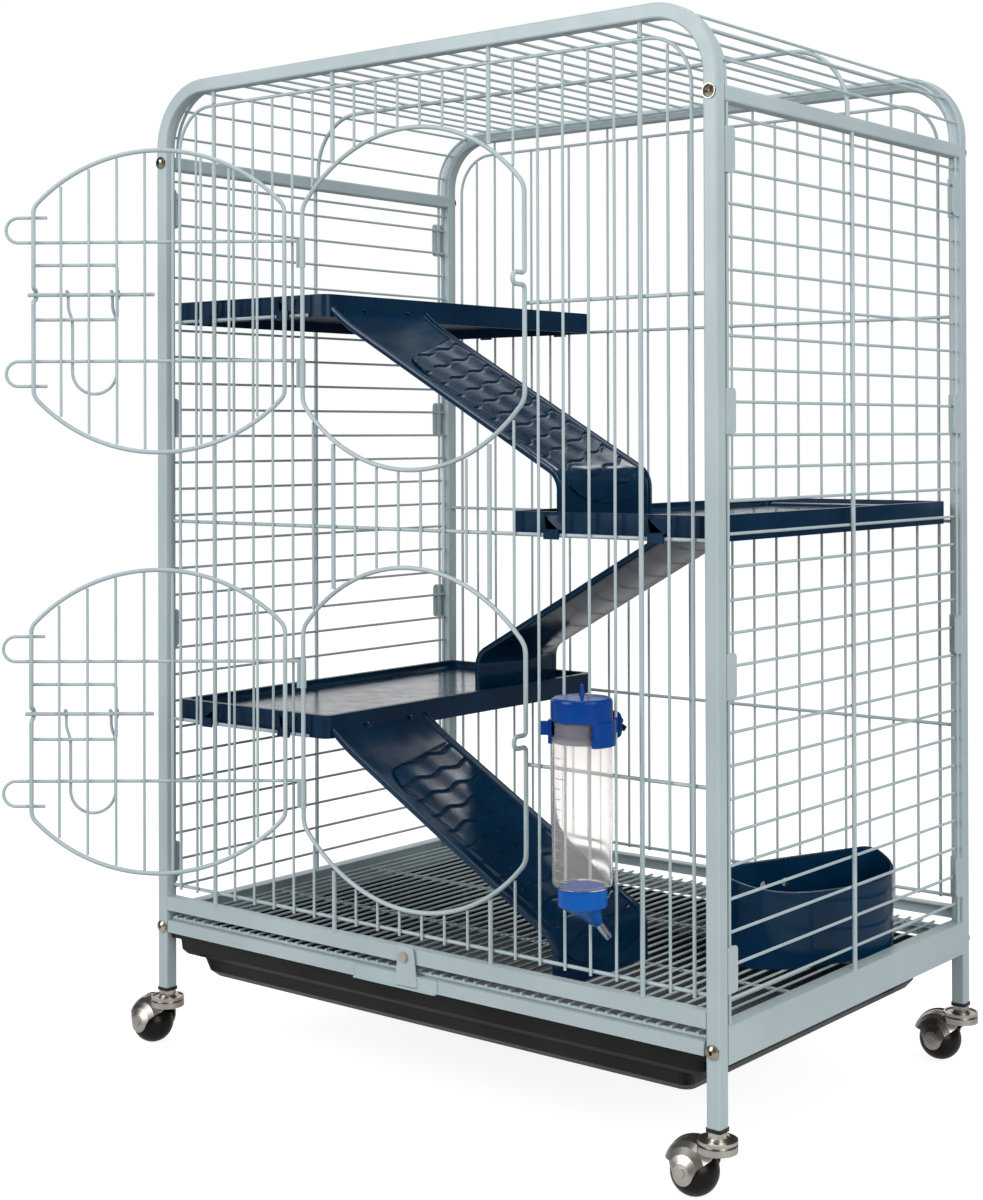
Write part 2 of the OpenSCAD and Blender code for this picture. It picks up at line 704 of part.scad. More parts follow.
// a moulded tray: recessed floor, hollow underneath, hooks over the level wires front and
// rear, and slots in its inner wall for the ramp's tabs; its outer edge is at x = 0
module shelf(wire_z) {
    top = shelf_top(wire_z);
    wall_x = shelf_w - plastic;
    hook_low = wire_z + level_r;
    out_y = level_y + level_r + 0.12;
    translate([0, 0, top]) {
        difference() {
            translate([shelf_w / 2, 0, -shelf_h]) linear_extrude(shelf_h)
                polygon(rounded(shelf_w, shelf_d, 9, 4));
            translate([shelf_w / 2, 0, -shelf_recess]) linear_extrude(shelf_recess + 1)
                polygon(rounded(shelf_w - 2 * shelf_rim, shelf_d - 2 * shelf_rim, 8, 4));
            translate([shelf_w / 2, 0, -shelf_h - 1])
                linear_extrude(shelf_h + 1 - shelf_recess - plastic)
                polygon(rounded(shelf_w - 2 * plastic, shelf_d - 2 * plastic, 6, 4));
            for (e = [-1, 1]) translate([wall_x - 2, ramp_mid - 5 + e * tab_y, slot_z[0]])
                cube([plastic + 4, 10, slot_z[1] - slot_z[0]]);
        }
        for (e = [0, 1]) mirror([0, e, 0]) for (x = hook_x) {
            translate([x - hook_w / 2, 0, hook_low - top]) union() {
                translate([0, shelf_d / 2 - 1, 0]) cube([hook_w, out_y + 2 - shelf_d / 2 + 1, 3]);
                translate([0, out_y, -5]) cube([hook_w, 2, 8]);
            }
            // a gusset on the wall that narrows down to the hook
            translate([x, shelf_d / 2 + gusset, 0]) rotate([90, 0, 0]) linear_extrude(gusset + 1)
                polygon([[-11, -3], [11, -3], [hook_w / 2, 3 - shelf_h], [-hook_w / 2, 3 - shelf_h]]);
        }
    }
}

module left_shelf(wire_z) { translate([-shelf_out, 0, 0]) shelf(wire_z); }
module top_shelf() { color(navy) left_shelf(top_wire_z); }
module lower_shelf() { color(navy) left_shelf(lower_wire_z); }
module middle_shelf() { color(navy) rotate([0, 0, 180]) left_shelf(middle_wire_z); }

// ------------------------------------------------------------------ ramps
// the same moulding three times: side walls, a deck that rolls over into the foot, and tabs
// that hang in the shelf's slots; x runs down the slope from the shelf's inner face
ramp_drop = 29;
deck_lift = 2;
foot_l = 13;
roll_r = 20;
throat_r = 16;
wall_end_r = 8;

// points of an arc of radius r that touches the line z = high - slope * x and the upright at x
function eased(high, slope, x, r) =
    let (z = high - slope * (x - r) - r * sqrt(1 + slope * slope))
    [for (i = [0 : 6]) let (a = atan2(1, slope) * (1 - i / 6)) [x - r + r * cos(a), z + r * sin(a)]];

module ramp(wire_z, slope, floor_z) {
    top = shelf_top(wire_z);
    start = top - ramp_drop;
    half = ramp_w / 2;
    deck = start + deck_lift;
    steep = plastic * sqrt(1 + slope * slope);
    translate([0, ramp_mid, 0]) {
        for (e = [0, 1]) mirror([0, e, 0]) translate([0, half, 0]) rotate([90, 0, 0])
            linear_extrude(plastic) polygon(concat(
                [[0, start]], eased(start, slope, ramp_run - foot_l, throat_r),
                [[ramp_run - foot_l, floor_z], [ramp_run, floor_z]],
                reversed(eased(start + ramp_wall, slope, ramp_run, wall_end_r)),
                [[0, start + ramp_wall]]));
        rotate([90, 0, 0]) linear_extrude(ramp_w - 2 * plastic, center = true) polygon(concat(
            [[0, deck]], eased(deck, slope, ramp_run - plastic, roll_r - plastic),
            [[ramp_run - plastic, floor_z], [ramp_run, floor_z]],
            reversed(eased(deck + steep, slope, ramp_run, roll_r)), [[0, deck + steep]]));
        translate([0, -half + plastic, deck + 1]) cube([plastic, ramp_w - 2 * plastic, ramp_wall]);
        for (e = [-1, 1]) translate([0, e * tab_y - 4, top + slot_z[0]]) union() {
            translate([-plastic - 3.3, 0, 0]) cube([plastic + 4.3, 8, 3]);
            translate([-plastic - 3.3, 0, -3.6]) cube([3, 8, 5]);
        }
    }
}

ramp_x = shelf_out - shelf_w;

module left_ramp(wire_z, slope, floor_z) {
    translate([-ramp_x, 0, 0]) ramp(wire_z, slope, floor_z);
}

module top_ramp() {
    color(navy) left_ramp(top_wire_z, ramp_slope, shelf_top(middle_wire_z) - shelf_recess);
}
module lower_ramp() { color(navy) left_ramp(lower_wire_z, lower_slope, grid_top + seat_gap); }
module middle_ramp() {
    color(navy) rotate([0, 0, 180])
        left_ramp(middle_wire_z, ramp_slope, shelf_top(lower_wire_z) - shelf_recess);
}

// ------------------------------------------------------------------ floor grid and tray
slide_gap = 0.5;
flange_z = side_rail_z + sheet + seat_gap;
bar_z = flange_z + tray_rim + slide_gap;
bar_top = bar_z + grid_bar_h;
bar_x = leg_in_x - 1.8;
bar_y = half_d + seat_gap;
cross_z = bar_top + weld_gap + grid_cross_r;
grid_z = cross_z + grid_cross_r + weld_gap + grid_r;
grid_top = grid_z + grid_r;
grid_half = floor((bar_x - 3) / grid_pitch);
lock_x = 0;
lock_z = cross_rail_z + 6;
lock_r = 1.8;
lock_hole_r = lock_r + seat_gap;
lock_y = bar_y + sheet;

lower_slope = (shelf_top(lower_wire_z) - ramp_drop - grid_top - 28) / ramp_run;

module floor_grid() {
    reach = half_d - 3;
    color(paint) {
        for (y = [-reach + 3.5, -0.31 * reach, 0.31 * reach, reach - 3.5])
            translate([0, y, cross_z]) wire_x(grid_cross_r, -bar_x + 1, bar_x - 1);
        for (k = [-grid_half : grid_half]) translate([k * grid_pitch, 0, grid_z])
            wire_y(grid_r, -reach, reach);
    }
}

// bars all round under the wires, with a pull plate along the middle of the front bar
module grid_frame() {
    bar = 5.5;
    pull_w = 94;
    color(paint) union() {
        for (s = [0, 1]) mirror([s, 0, 0]) translate([bar_x - bar, -bar_y, bar_z])
            cube([bar, 2 * bar_y, grid_bar_h]);
        translate([-bar_x, -bar_y, bar_z]) cube([2 * bar_x, sheet, grid_bar_h]);
        translate([-bar_x, -bar_y, bar_top - sheet]) cube([2 * bar_x, 11.5, sheet]);
        translate([-bar_x, bar_y - sheet, bar_z]) cube([2 * bar_x, sheet, grid_bar_h]);
        translate([-bar_x, bar_y - 11.5, bar_top - sheet]) cube([2 * bar_x, 11.5, sheet]);
        translate([-10.6 - pull_w / 2, -bar_y - sheet, bar_z]) cube([pull_w, sheet, grid_bar_h]);
        translate([-10.6 - pull_w / 2, -bar_y - sheet - 4, bar_z]) cube([pull_w, 5, sheet]);
    }
}

// a tapered tab on the front of the grid with a thumb screw into the fixed cross rail
module grid_lock_tab() {
    gauge = 1.2;
    color(paint) difference() {
        translate([lock_x + 2, -lock_y, 0]) rotate([90, 0, 0]) linear_extrude(gauge) polygon([
            [-12.5, bar_z + 3.5], [-11, bar_z + 2], [11, bar_z + 2], [12.5, bar_z + 3.5],
            [8.5, lock_z + 6.5], [6.5, lock_z + 8.5], [-6.5, lock_z + 8.5], [-8.5, lock_z + 6.5]]);
        translate([lock_x, -half_d, lock_z]) wire_y(lock_r, -5, 5);
    }
}

module grid_lock_screw() {
    color(steel) translate([lock_x, 0, lock_z]) union() {
        wire_y(lock_r, -lock_y - 1.2, -half_d + 4);
        wire_y(4.5, -lock_y - 3.6, -lock_y - 1.2);
    }
}

// a moulded tray in two depths, hung by its rim on the side rails' lower flanges; its walls
// lean inwards and the step between the depths is rounded off
upper_x = half_w - 18.5;
upper_y = leg_in_y + 5.2;
rim_out = [4.5, 2];
tray_low_z = flange_z + tray_rim - tray_h;
tray_step_z = flange_z + tray_rim - tray_step_h;

module tray_slice(z, narrow, shorten, grow) {
    translate([0, 0, z]) linear_extrude(0.01)
        polygon(rounded(2 * (upper_x - narrow - grow), 2 * (upper_y - shorten - grow), 9 - grow, 4));
}

module tray_form(grow, top) {
    lift = grow;
    hull() {
        tray_slice(top, 0, 0, grow);
        tray_slice(tray_step_z + 4 + lift, 1, 1, grow);
        tray_slice(tray_step_z + lift, 4, 4, grow);
    }
    hull() {
        tray_slice(tray_step_z + 0.02 + lift, 22, 10, grow);
        tray_slice(tray_low_z + 6 + lift, 25, 15, grow);
        tray_slice(tray_low_z + lift, 29, 22, grow);
    }
}

module tray() {
    color(black) difference() {
        union() {
            translate([-upper_x - rim_out[0], -upper_y - rim_out[1], flange_z])
                cube([2 * (upper_x + rim_out[0]), 2 * (upper_y + rim_out[1]), tray_rim]);
            tray_form(0, flange_z + 0.5);
        }
        tray_form(tray_wall, flange_z + tray_rim + 3);
    }
}

// ------------------------------------------------------------------ food bowl
// a scoop with a straight back that stands higher than its round front; its own frame has
// the back along Y and the front towards +X
bowl_at = [228.2, 51.9];
bowl_turn = -21.2;
bowl_corner_r = 12;
hook_holes = [-36.5, -12.5];
hook_hole_z = 59.3;
hook_hole_r = 3.5;

module bowl_cup(inset) {
    blunt = 0.74;
    back = 2 * (bowl_w / 2 - inset);
    intersection() {
        translate([inset, 0, inset]) linear_extrude(120) polygon([
            for (i = [0 : 24]) let (a = i * 7.5 - 90)
                [(bowl_d - 2 * inset) * pow(abs(cos(a)), blunt),
                 back / 2 * sign(a) * pow(abs(sin(a)), blunt)]]);
        translate([bowl_d, 0, inset]) linear_extrude(120)
            polygon(rounded(2 * (bowl_d - inset), back, bowl_corner_r - inset, 4));
    }
}

module food_bowl() {
    color(navy) translate([bowl_at[0], bowl_at[1], grid_top + seat_gap]) rotate([0, 0, bowl_turn])
        difference() {
            bowl_cup(0);
            bowl_cup(bowl_wall);
            translate([0, 0, bowl_back_h]) rotate([0, atan2(bowl_back_h - bowl_front_h, bowl_d), 0])
                translate([-100, -150, 0]) cube([300, 300, 100]);
            for (y = hook_holes) translate([0, y, hook_hole_z])
                wire_x(hook_hole_r, -1, bowl_wall + 1);
        }
}

// ------------------------------------------------------------------ water bottle
// it hangs outside the front panel with its spout through to the inside
wire_face = weld_y + 2 * thin_r;
bottle_z = 233;
neck_l = 26;
cap_z = bottle_z + bottle_h + 12;
cap_r = bottle_r + 0.5;
cap_h = 18;
clip_r = bottle_r + 3;
clip_low = bottle_z + bottle_h - 7;
clip_gape = 54;
bottle_at = [8 * pitch + 2.6, -wire_face - bottle_r - 6.35];
clamp_x = 8 * pitch;
clamp_z = clip_low + 12;

module bottle_body() {
    seat = 17.5;
    color([0.85, 0.90, 0.92, 0.5]) translate([bottle_at[0], bottle_at[1], bottle_z])
        rotate_extrude($fn = 48) polygon([
            [seat, 0], [bottle_r - 2.5, 0], [bottle_r - 0.8, 1.2], [bottle_r, 3.6],
            [bottle_r, bottle_h - 1.5], [neck_r, bottle_h], [neck_r, bottle_h + neck_l],
            [neck_r - bottle_wall, bottle_h + neck_l], [neck_r - bottle_wall, bottle_h - 0.8],
            [bottle_r - bottle_wall, bottle_h - 2.3], [bottle_r - bottle_wall, 4],
            [bottle_r - 2.2, 2.2], [bottle_r - 3.2, bottle_wall], [seat, bottle_wall]]);
}

// a screw cap over the neck with a thin moulded nub on top
module bottle_cap() {
    bore = neck_r + 0.1;
    color(blue) translate([bottle_at[0], bottle_at[1], cap_z]) union() {
        rotate_extrude($fn = 48) polygon([
            [bore, 0], [cap_r, 0], [cap_r, cap_h - 2.6], [cap_r - 0.7, cap_h - 1],
            [cap_r - 2.4, cap_h], [10, cap_h + 1.2], [0, cap_h + 1.4],
            [0, neck_l - 10], [bore, neck_l - 10]]);
        translate([0, 0, cap_h]) cylinder(r1 = 2.2, r2 = 1.2, h = 10);
    }
}

// a spring clip that grips the bottle from behind: two arms with rounded ends and finger
// lips, on a block that bears against the wires
module bottle_bracket() {
    clip_h = cap_z - clip_low;
    bite = 7;
    tab_w = 34;
    open_x = 60 * sin(clip_gape);
    open_y = -60 * cos(clip_gape);
    color(blue) translate([bottle_at[0], bottle_at[1], clip_low]) difference() {
        union() {
            translate([0, 0, bite]) cylinder(r = clip_r, h = clip_h - bite, $fn = 48);
            intersection() {
                cylinder(r = clip_r, h = clip_h, $fn = 48);
                translate([0, -3, clip_h / 2]) rotate([90, 0, 90])
                    linear_extrude(80, center = true) polygon(rounded(tab_w, clip_h, 6, 4));
            }
            translate([clamp_x - bottle_at[0] - 16, 0, bite])
                cube([32, -wire_face - bottle_at[1], clip_h - bite]);
            for (s = [-1, 1]) rotate([0, 0, -90 + s * (clip_gape + 4)])
                translate([bottle_r + 0.6, -1.5, bite]) cube([8, 3, clip_h - bite - 1]);
        }
        translate([0, 0, -1]) cylinder(r = bottle_r + 0.1, h = clip_h + 2, $fn = 48);
        translate([0, 0, -1]) linear_extrude(clip_h + 2)
            polygon([[0, 0], [open_x, open_y], [open_x, -90], [-open_x, -90], [-open_x, open_y]]);
        translate([clamp_x - bottle_at[0], 0, clamp_z - clip_low])
            wire_y(wing_bolt_r, 10, 60);
    }
}

// the plate inside the wires and the wing bolt that draws it to the clip
wing_bolt_r = 2.5;
plate_gauge = 3;

module bracket_plate() {
    color(blue) translate([clamp_x, -weld_y, clamp_z]) difference() {
        rotate([-90, 0, 0]) linear_extrude(plate_gauge) polygon(rounded(32, 22, 6, 4));
        wire_y(wing_bolt_r, -1, plate_gauge + 1);
    }
}

module bracket_wing_bolt() {
    shank = 24;
    color(black) translate([clamp_x, -weld_y, clamp_z]) union() {
        wire_y(wing_bolt_r, -6.5, shank);
        translate([0, plate_gauge, 0]) wire_y(5, 0, shank - plate_gauge - 6);
        for (a = [35, 215]) rotate([0, a, 0]) translate([0, shank - 12, -1.2])
            linear_extrude(2.4) polygon([[0, -3], [9, 1], [11, 5], [9, 9], [0, 7]]);
    }
}

// a cup that closes the bottle's lower end, tapering to the socket of the spout
base_r = 19.5;
base_h = 15;
spout_r_in = spout_r - 0.7;
spout_tilt = 45;
spout_z0 = -6;

module bottle_base() {
    wall = 2;
    color(blue) difference() {
        union() {
            translate([bottle_at[0], bottle_at[1], bottle_z - base_h]) cylinder(r = base_r, h = base_h, $fn = 48);
            translate([bottle_at[0], bottle_at[1], bottle_z - base_h - 5])
                cylinder(r1 = 12, r2 = base_r - 0.8, h = 5, $fn = 48);
            hull() {
                translate([bottle_at[0], bottle_at[1], bottle_z - base_h - 4]) cylinder(r = 13, h = 4);
                spout_pose() translate([0, 0, -3]) cylinder(r = spout_r + 1.6, h = 3);
            }
        }
        translate([bottle_at[0], bottle_at[1], bottle_z - base_h + wall])
            cylinder(r = base_r - wall, h = base_h, $fn = 48);
        spout_pose() translate([0, 0, spout_z0]) cylinder(r = spout_r, h = 20);
        spout_pose() translate([0, 0, -30]) cylinder(r = spout_r - 1, h = 30);
    }
}

module spout_pose() {
    translate([bottle_at[0], bottle_at[1] + 19.7, bottle_z - 32.1]) rotate([spout_tilt - 180, 0, 0])
        children();
}

// a steel tube turned in at its end to hold the ball
ball_fit = 0.05;
spout_lip = spout_r_in - 0.3;
spout_end = spout_z0 + spout_l;
drip_r = spout_r_in - ball_fit;
drip_z = spout_end - 0.6 - sqrt(pow(drip_r + 0.12, 2) - spout_lip * spout_lip);

module bottle_spout() {
    color(steel) spout_pose() difference() {
        translate([0, 0, spout_z0]) cylinder(r = spout_r, h = spout_l);
        translate([0, 0, spout_z0 - 1]) cylinder(r = spout_r_in, h = spout_l + 0.4);
        translate([0, 0, 7]) cylinder(r = spout_lip, h = spout_l);
    }
}

module spout_ball() {
    color(steel) spout_pose() translate([0, 0, drip_z]) sphere(r = drip_r, $fn = 32);
}

// ------------------------------------------------------------------ ball casters
// chrome fender over the upper outer half of the ball: a pressed dome turned about the
// axle, cut to a tongue at each side that takes the riveted axle
axle_reach = ball_r + 1.5;
dome_r = ball_r + 6.8;
dome_sheet = 1.2;

module dome_turned(r, half) {
    rotate_extrude($fn = 64) polygon([for (i = [0 : 12]) let (a = i * 15 - 90)
        [r * cos(a), half * sin(a)]]);
}

// side view of what is left of the dome, ball's centre at the origin
module dome_outline() {
    tongue_r = 8.8;
    tongue = [1.2, 2.5];
    rotate([90, 0, 0]) linear_extrude(80, center = true) polygon([
        [-40, 8], [-13, 9],
        for (i = [0 : 8]) let (a = 190 + i * 20)
            [tongue[0] + tongue_r * cos(a), tongue[1] + tongue_r * sin(a)],
        [12.5, 7], [19, 13], [19.5, 40], [-40, 40]]);
}

module caster_hood(sx, sy) {
    top = swivel_z - seat_gap;
    disc_h = 5.1;
    color(steel) translate([sx * leg_x, sy * leg_y, 0]) difference() {
        union() {
            translate([0, 0, top - disc_h - 1.5]) cylinder(r = cup_r, h = disc_h);
            translate([0, 0, top - 1.6]) cylinder(r = cup_r - 3, h = 1.6);
            translate([-trail, 0, ball_r]) intersection() {
                rotate([90 - axle_tilt, 0, 0]) dome_turned(dome_r, axle_reach + 0.4);
                dome_outline();
            }
        }
        intersection() {
            translate([-trail, 0, ball_r]) rotate([90 - axle_tilt, 0, 0])
                dome_turned(dome_r - dome_sheet, axle_reach + 0.4 - dome_sheet);
            translate([-trail - 40, -40, -40]) cube([80, 80, top - disc_h - 1.5 + 40]);
        }
        translate([-trail, 0, ball_r]) sphere(r = ball_r + 0.6, $fn = 64);
        translate([-trail, 0, ball_r]) rotate([90 - axle_tilt, 0, 0])
            cylinder(r = axle_r, h = 60, center = true);
        for (e = [0, 180]) translate([-trail, 0, ball_r]) rotate([90 - axle_tilt + e, 0, 0])
            translate([0, 0, axle_reach]) cylinder(r = 4.2, h = 10);
        translate([0, 0, top]) cylinder(r = cup_r + seat_gap, h = 10);
        translate([0, 0, top - 12]) cylinder(r = stem_r + run_gap, h = 20);
        translate([0, 0, swivel_z - 9]) cylinder(r = 6 + seat_gap, h = 5.4);
    }
}

// riveted axle through both ears and the ball
module caster_axle(sx, sy) {
    color(steel) translate([sx * leg_x - trail, sy * leg_y, ball_r]) rotate([90 - axle_tilt, 0, 0])
        union() {
            cylinder(r = axle_r, h = 2 * axle_reach, center = true);
            for (e = [-1, 1]) translate([0, 0, e * (axle_reach + 0.6)])
                cylinder(r = 3.8, h = 1.2, center = true);
        }
}

module caster_ball(sx, sy) {
    color(black) translate([sx * leg_x - trail, sy * leg_y, ball_r]) difference() {
        sphere(r = ball_r, $fn = 64);
        rotate([90 - axle_tilt, 0, 0])
            cylinder(r = axle_r + run_gap, h = 3 * ball_r, center = true);
    }
}

module caster_hood_fl() { caster_hood(-1, -1); }
module caster_hood_fr() { caster_hood(1, -1); }
module caster_hood_rl() { caster_hood(-1, 1); }
module caster_hood_rr() { caster_hood(1, 1); }
module caster_axle_fl() { caster_axle(-1, -1); }
module caster_axle_fr() { caster_axle(1, -1); }
module caster_axle_rl() { caster_axle(-1, 1); }
module caster_axle_rr() { caster_axle(1, 1); }
module caster_ball_fl() { caster_ball(-1, -1); }
module caster_ball_fr() { caster_ball(1, -1); }
module caster_ball_rl() { caster_ball(-1, 1); }
module caster_ball_rr() { caster_ball(1, 1); }

front_arch();
rear_arch();
top_rail_left();
top_rail_right();
bottom_rail_left();
bottom_rail_right();
front_cross_rail();
rear_cross_rail();
frame_bolts();
leg_plugs();
caster_stems();
panel_clips();
front_panel();
door_frames();
back_panel();
left_panel();
right_panel();
roof_panel();
roof_hoops();
top_shelf();
middle_shelf();
lower_shelf();
top_ramp();
middle_ramp();
lower_ramp();
food_bowl();
bottle_body();
bottle_cap();
bottle_bracket();
bracket_plate();
bracket_wing_bolt();
bottle_base();
bottle_spout();
spout_ball();
upper_door();
upper_hinge_clips();
upper_latch_rod();
upper_latch_handle();
lower_door();
lower_hinge_clips();
lower_latch_rod();
lower_latch_handle();
floor_grid();
grid_frame();
grid_lock_tab();
grid_lock_screw();
tray();
caster_hood_fl();
caster_axle_fl();
caster_ball_fl();
caster_hood_fr();
caster_axle_fr();
caster_ball_fr();
caster_hood_rl();
caster_axle_rl();
caster_ball_rl();
caster_hood_rr();
caster_axle_rr();
caster_ball_rr();
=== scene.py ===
"""Wire cage for small animals on ball casters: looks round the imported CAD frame."""
import json
import math

import bmesh
import bpy
import numpy as np
from mathutils import Matrix, Vector


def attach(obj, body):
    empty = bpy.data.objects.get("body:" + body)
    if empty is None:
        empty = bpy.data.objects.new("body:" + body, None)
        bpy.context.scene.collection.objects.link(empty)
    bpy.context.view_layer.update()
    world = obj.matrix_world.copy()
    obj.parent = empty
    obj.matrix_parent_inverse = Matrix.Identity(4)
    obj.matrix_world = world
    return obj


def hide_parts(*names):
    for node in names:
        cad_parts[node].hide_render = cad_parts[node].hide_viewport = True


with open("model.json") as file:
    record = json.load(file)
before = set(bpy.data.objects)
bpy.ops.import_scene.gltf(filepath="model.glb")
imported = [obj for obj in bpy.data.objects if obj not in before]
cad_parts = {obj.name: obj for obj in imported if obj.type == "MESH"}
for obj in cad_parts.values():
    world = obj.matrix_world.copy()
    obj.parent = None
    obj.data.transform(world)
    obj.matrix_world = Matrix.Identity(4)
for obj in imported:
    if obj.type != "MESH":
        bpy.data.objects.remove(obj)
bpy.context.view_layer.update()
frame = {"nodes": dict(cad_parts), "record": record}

MM = 0.001
ROOM_LIGHT = 0.52  # strength of the world for diffuse light
SHARP_EDGE = math.radians(32)  # edges turned by more than this are rounded
BACKDROP_WAY = (-0.62, 0.78, 0.0)  # from the camera towards the backdrop

# ------------------------------------------------------------------ node helpers


def maths(tree, operation, *values):
    """A Math node of the given operation on sockets or fixed numbers."""
    node = tree.nodes.new("ShaderNodeMath")
    node.operation = operation
    for socket, value in zip(node.inputs, values):
        if hasattr(value, "is_linked"):
            tree.links.new(value, socket)
        else:
            socket.default_value = value
    return node.outputs[0]


def ranged(tree, value, low, high, to_low, to_high):
    """value from low..high mapped onto to_low..to_high, clamped."""
    node = tree.nodes.new("ShaderNodeMapRange")
    node.inputs["From Min"].default_value = low
    node.inputs["From Max"].default_value = high
    node.inputs["To Min"].default_value = to_low
    node.inputs["To Max"].default_value = to_high
    tree.links.new(value, node.inputs["Value"])
    return node.outputs["Result"]


# ------------------------------------------------------------------ stage


def add_camera():
    """The photograph's camera, solved from the frame's vanishing points."""
    yaw, pitch, roll = (math.radians(a) for a in (38.52, 0.33, -0.17))
    look = Vector((-math.sin(yaw) * math.cos(pitch), math.cos(yaw) * math.cos(pitch), math.sin(pitch)))
    right = look.cross(Vector((0, 0, 1))).normalized()
    up = right.cross(look)
    turned_right = right * math.cos(roll) + up * math.sin(roll)
    turned_up = up * math.cos(roll) - right * math.sin(roll)
    camera = bpy.data.objects.new("camera", bpy.data.cameras.new("camera"))
    bpy.context.scene.collection.objects.link(camera)
    turn = Matrix((turned_right, turned_up, -look)).transposed().to_4x4()
    camera.matrix_world = Matrix.Translation((1.12866, -1.48909, 0.590)) @ turn
    camera.data.sensor_width = 36
    camera.data.lens = 1957.58 / 1200 * 36
    camera.data.shift_x = (983 / 2 - 509.54) / 1200
    camera.data.shift_y = (422.9 - 600) / 1200
    camera.data.clip_end = 50
    bpy.context.scene.camera = camera


def add_area(name, place, aim, size, power):
    """A soft square lamp at place, turned to aim."""
    lamp = bpy.data.lights.new(name, "AREA")
    lamp.size = size
    lamp.energy = power
    holder = bpy.data.objects.new(name, lamp)
    bpy.context.scene.collection.objects.link(holder)
    holder.location = place
    holder.rotation_euler = (Vector(aim) - Vector(place)).to_track_quat("-Z", "Y").to_euler()


def add_stage():
    """White floor and world as the camera sees them, with plain soft light on the object."""
    scene = bpy.context.scene
    scene.view_settings.view_transform = "Standard"
    world = bpy.data.worlds.new("studio")
    scene.world = world
    world.use_nodes = True
    tree = world.node_tree
    tree.nodes.clear()
    out = tree.nodes.new("ShaderNodeOutputWorld")
    sky = tree.nodes.new("ShaderNodeBackground")
    sky.inputs["Color"].default_value = (1, 1, 1, 1)
    path = tree.nodes.new("ShaderNodeLightPath")
    # the white backdrop stands behind the cage: gloss sees it there, and a dark room elsewhere
    toward = tree.nodes.new("ShaderNodeVectorMath")
    toward.operation = "DOT_PRODUCT"
    toward.inputs[1].default_value = BACKDROP_WAY
    tree.links.new(tree.nodes.new("ShaderNodeTexCoord").outputs["Generated"], toward.inputs[0])
    sheet = ranged(tree, toward.outputs["Value"], 0.842, 0.862, 0.05, 0.95)
    plain = maths(tree, "MULTIPLY_ADD", path.outputs["Is Diffuse Ray"], ROOM_LIGHT, 0.0)
    gloss = maths(tree, "MULTIPLY", sheet, path.outputs["Is Glossy Ray"])
    direct = maths(tree, "MAXIMUM", path.outputs["Is Camera Ray"], path.outputs["Is Transmission Ray"])
    strength = maths(tree, "MAXIMUM", maths(tree, "MAXIMUM", plain, gloss), direct)
    tree.links.new(strength, sky.inputs["Strength"])
    tree.links.new(sky.outputs[0], out.inputs["Surface"])

    mesh = bpy.data.meshes.new("floor")
    mesh.from_pydata([(-6, -6, 0), (6, -6, 0), (6, 6, 0), (-6, 6, 0)], [], [(0, 1, 2, 3)])
    floor = bpy.data.objects.new("floor", mesh)
    scene.collection.objects.link(floor)
    mat = bpy.data.materials.new("floor_white")
    mat.use_nodes = True
    shade = mat.node_tree.nodes["Principled BSDF"]
    shade.inputs["Base Color"].default_value = (0.30, 0.30, 0.30, 1)
    shade.inputs["Roughness"].default_value = 0.8
    shade.inputs["Emission Color"].default_value = (1, 1, 1, 1)
    tree = mat.node_tree
    path = tree.nodes.new("ShaderNodeLightPath")
    # gloss sees the white paper round the cage only, not the dark room past it
    away = tree.nodes.new("ShaderNodeVectorMath")
    away.operation = "LENGTH"
    tree.links.new(tree.nodes.new("ShaderNodeTexCoord").outputs["Object"], away.inputs[0])
    paper = ranged(tree, away.outputs["Value"], 1.0, 1.8, 0.30, 0.0)
    gloss = maths(tree, "MULTIPLY", paper, path.outputs["Is Glossy Ray"])
    direct = maths(tree, "MAXIMUM", path.outputs["Is Camera Ray"], path.outputs["Is Transmission Ray"])
    shown = maths(tree, "MULTIPLY_ADD", direct, 0.88, gloss)
    tree.links.new(shown, shade.inputs["Emission Strength"])
    mesh.materials.append(mat)
    add_area("key", (-1.3, -2.8, 1.7), (0, 0, 0.40), 1.8, 52)
    add_area("fill", (2.7, -1.0, 1.3), (0, 0, 0.40), 1.8, 43)
    add_area("top", (0.2, 0.2, 3.2), (0, 0, 0.4), 2.2, 26)
    add_area("strip", (-0.66, 2.31, 2.10), (-0.10, -0.10, 0.25), 0.34, 1.3)


# ------------------------------------------------------------------ mesh helpers


def quad_grid(rows, cols, wrap=False):
    """Corner numbers of the quads of a rows x cols point grid; wrap joins the last column to the first."""
    across = cols if wrap else cols - 1
    r, c = np.meshgrid(np.arange(rows - 1), np.arange(across), indexing="ij")
    right = (c + 1) % cols
    near, far = r * cols, (r + 1) * cols
    return np.stack([near + c, near + right, far + right, far + c], -1).reshape(-1, 4)


def add_piece(name, points, faces, body, finish):
    """A mesh from point and face arrays, in metres, riding on body."""
    mesh = bpy.data.meshes.new(name)
    rows = faces.tolist() if hasattr(faces, "tolist") else faces
    mesh.from_pydata(np.asarray(points, float).reshape(-1, 3).tolist(), [], rows)
    piece = bpy.data.objects.new(name, mesh)
    bpy.context.scene.collection.objects.link(piece)
    tidy = bmesh.new()
    tidy.from_mesh(mesh)
    bmesh.ops.remove_doubles(tidy, verts=tidy.verts, dist=1e-6)
    bmesh.ops.recalc_face_normals(tidy, faces=tidy.faces)
    tidy.to_mesh(mesh)
    tidy.free()
    mesh.shade_smooth()
    mesh.set_sharp_from_angle(angle=math.radians(40))
    mesh.materials.append(finish)
    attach(piece, body)
    return piece


